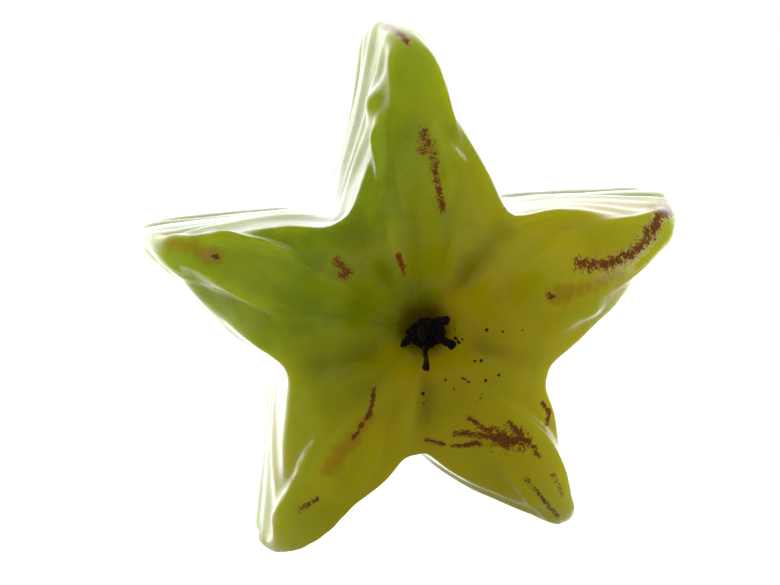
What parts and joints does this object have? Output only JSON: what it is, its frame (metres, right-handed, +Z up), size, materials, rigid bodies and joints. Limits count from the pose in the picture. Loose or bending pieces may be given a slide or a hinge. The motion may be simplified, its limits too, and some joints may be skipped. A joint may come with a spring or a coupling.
{
  "type": "star fruit",
  "caption": "Whole ribbed fruit, star-shaped in section, lying on two ribs, with its withered flower at one end and its cut stalk at the other.",
  "frame": {"origin": "bottom centre of the bounding box; the fruit lies on its two lower ribs on Z = 0", "axes": "+Z up, +Y along the fruit from the blossom end to the stalk end, +X to the right seen from the blossom end"},
  "size_m": [0.0695, 0.1145, 0.0676],
  "materials": {
    "skin": "waxy, smooth green skin turning olive yellow at the blossom end, with brown rub marks and dark specks",
    "dried_flower": "nearly black, dry and crumbling",
    "stalk": "brown, woody and finely grooved, with a pale cut end",
    "sepal": "thin, dry and brown"
  },
  "bodies": {
    "root": {"fruit": "skin", "flower_scar": "dried_flower", "style_1": "dried_flower", "style_2": "dried_flower", "style_3": "dried_flower", "style_4": "dried_flower", "style_5": "dried_flower", "stem_stub": "stalk", "sepal_1": "sepal", "sepal_2": "sepal", "sepal_3": "sepal", "sepal_4": "sepal", "sepal_5": "sepal"}
  },
  "joints": []
}
